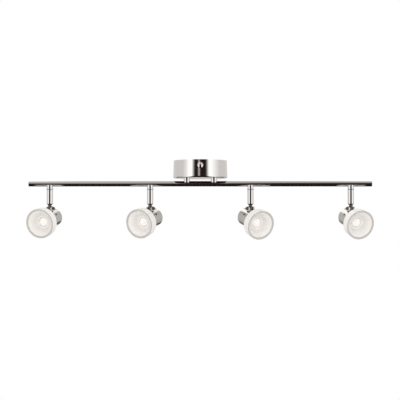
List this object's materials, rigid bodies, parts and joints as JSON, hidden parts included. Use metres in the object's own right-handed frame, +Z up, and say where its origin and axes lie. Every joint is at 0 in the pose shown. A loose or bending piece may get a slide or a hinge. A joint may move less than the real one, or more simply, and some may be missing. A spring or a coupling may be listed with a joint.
{
  "type": "ceiling spot light bar",
  "caption": "Chrome ceiling bar on a round canopy, carrying spot heads with satin glass shades that swivel and tilt on short arms.",
  "frame": {"origin": "centre of the mounting bracket's top face, on the ceiling", "axes": "+Z up into the ceiling, +X along the bar, -Y is the front"},
  "size_m": [0.7601, 0.1282, 0.1742],
  "materials": {
    "chrome": "mirror-bright electroplated chrome on drawn steel and turned brass",
    "cup_chrome": "bright chrome on a drawn cup, slightly softer than the bar",
    "yoke_chrome": "chrome on a die-cast yoke, a little softer than the bar",
    "hinge_nickel": "dark nickel plate on turned steel, satin",
    "zinc_steel": "zinc-plated pressed steel",
    "green_steel": "green-coated steel",
    "black_steel": "black oxide steel, low sheen",
    "white_plastic": "moulded nylon, matt",
    "lead_sheath": "extruded sheath, satin",
    "satin_glass": "pressed glass, acid-etched satin, cut rim",
    "ceramic": "pressed steatite, matt",
    "frosted_lamp": "frosted lamp envelope"
  },
  "bodies": {
    "root": {"canopy": "chrome", "mounting_bracket": "zinc_steel", "canopy_screws": "chrome", "ground_screw": "green_steel", "terminal_block": "white_plastic", "supply_wiring": "lead_sheath", "stem_left": "chrome", "stem_right": "chrome", "stem_nuts": "zinc_steel", "bar_tube": "chrome", "end_cap_left": "chrome", "end_cap_right": "chrome", "collar_1": "chrome", "swivel_nipple_1": "zinc_steel", "collar_2": "chrome", "swivel_nipple_2": "zinc_steel", "collar_3": "chrome", "swivel_nipple_3": "zinc_steel", "collar_4": "chrome", "swivel_nipple_4": "zinc_steel"},
    "arm_1": {"arm_tube_1": "chrome", "knuckle_1": "hinge_nickel", "arm_lead_1": "lead_sheath"},
    "arm_2": {"arm_tube_2": "chrome", "knuckle_2": "hinge_nickel", "arm_lead_2": "lead_sheath"},
    "arm_3": {"arm_tube_3": "chrome", "knuckle_3": "hinge_nickel", "arm_lead_3": "lead_sheath"},
    "arm_4": {"arm_tube_4": "chrome", "knuckle_4": "hinge_nickel", "arm_lead_4": "lead_sheath"},
    "head_1": {"yoke_1": "yoke_chrome", "pivot_screws_1": "hinge_nickel", "lamp_cup_1": "cup_chrome", "glass_shade_1": "satin_glass", "lamp_holder_1": "ceramic", "lamp_1": "frosted_lamp", "cup_screws_1": "black_steel"},
    "head_2": {"yoke_2": "yoke_chrome", "pivot_screws_2": "hinge_nickel", "lamp_cup_2": "cup_chrome", "glass_shade_2": "satin_glass", "lamp_holder_2": "ceramic", "lamp_2": "frosted_lamp", "cup_screws_2": "black_steel"},
    "head_3": {"yoke_3": "yoke_chrome", "pivot_screws_3": "hinge_nickel", "lamp_cup_3": "cup_chrome", "glass_shade_3": "satin_glass", "lamp_holder_3": "ceramic", "lamp_3": "frosted_lamp", "cup_screws_3": "black_steel"},
    "head_4": {"yoke_4": "yoke_chrome", "pivot_screws_4": "hinge_nickel", "lamp_cup_4": "cup_chrome", "glass_shade_4": "satin_glass", "lamp_holder_4": "ceramic", "lamp_4": "frosted_lamp", "cup_screws_4": "black_steel"}
  },
  "joints": [
    {"name": "swivel_1", "type": "hinge", "parent": "root", "child": "arm_1", "pos_m": [-0.333, 0, -0.1055], "axis": [0, 0, 1], "range_deg": [-154.5, 195.5]},
    {"name": "swivel_2", "type": "hinge", "parent": "root", "child": "arm_2", "pos_m": [-0.111, 0, -0.1055], "axis": [0, 0, 1], "range_deg": [-146.5, 203.5]},
    {"name": "swivel_3", "type": "hinge", "parent": "root", "child": "arm_3", "pos_m": [0.111, 0, -0.1055], "axis": [0, 0, 1], "range_deg": [-203.5, 146.5]},
    {"name": "swivel_4", "type": "hinge", "parent": "root", "child": "arm_4", "pos_m": [0.333, 0, -0.1055], "axis": [0, 0, 1], "range_deg": [-195, 155]},
    {"name": "tilt_1", "type": "hinge", "parent": "arm_1", "child": "head_1", "pos_m": [-0.333, 0, -0.1055], "axis": [0.9367, -0.3502, 0], "range_deg": [-42.5, 52.5]},
    {"name": "tilt_2", "type": "hinge", "parent": "arm_2", "child": "head_2", "pos_m": [-0.111, 0, -0.1055], "axis": [0.8788, -0.4772, 0], "range_deg": [-43, 52]},
    {"name": "tilt_3", "type": "hinge", "parent": "arm_3", "child": "head_3", "pos_m": [0.111, 0, -0.1055], "axis": [0.8788, 0.4772, 0], "range_deg": [-47, 48]},
    {"name": "tilt_4", "type": "hinge", "parent": "arm_4", "child": "head_4", "pos_m": [0.333, 0, -0.1055], "axis": [0.9397, 0.342, 0], "range_deg": [-46, 49]}
  ]
}
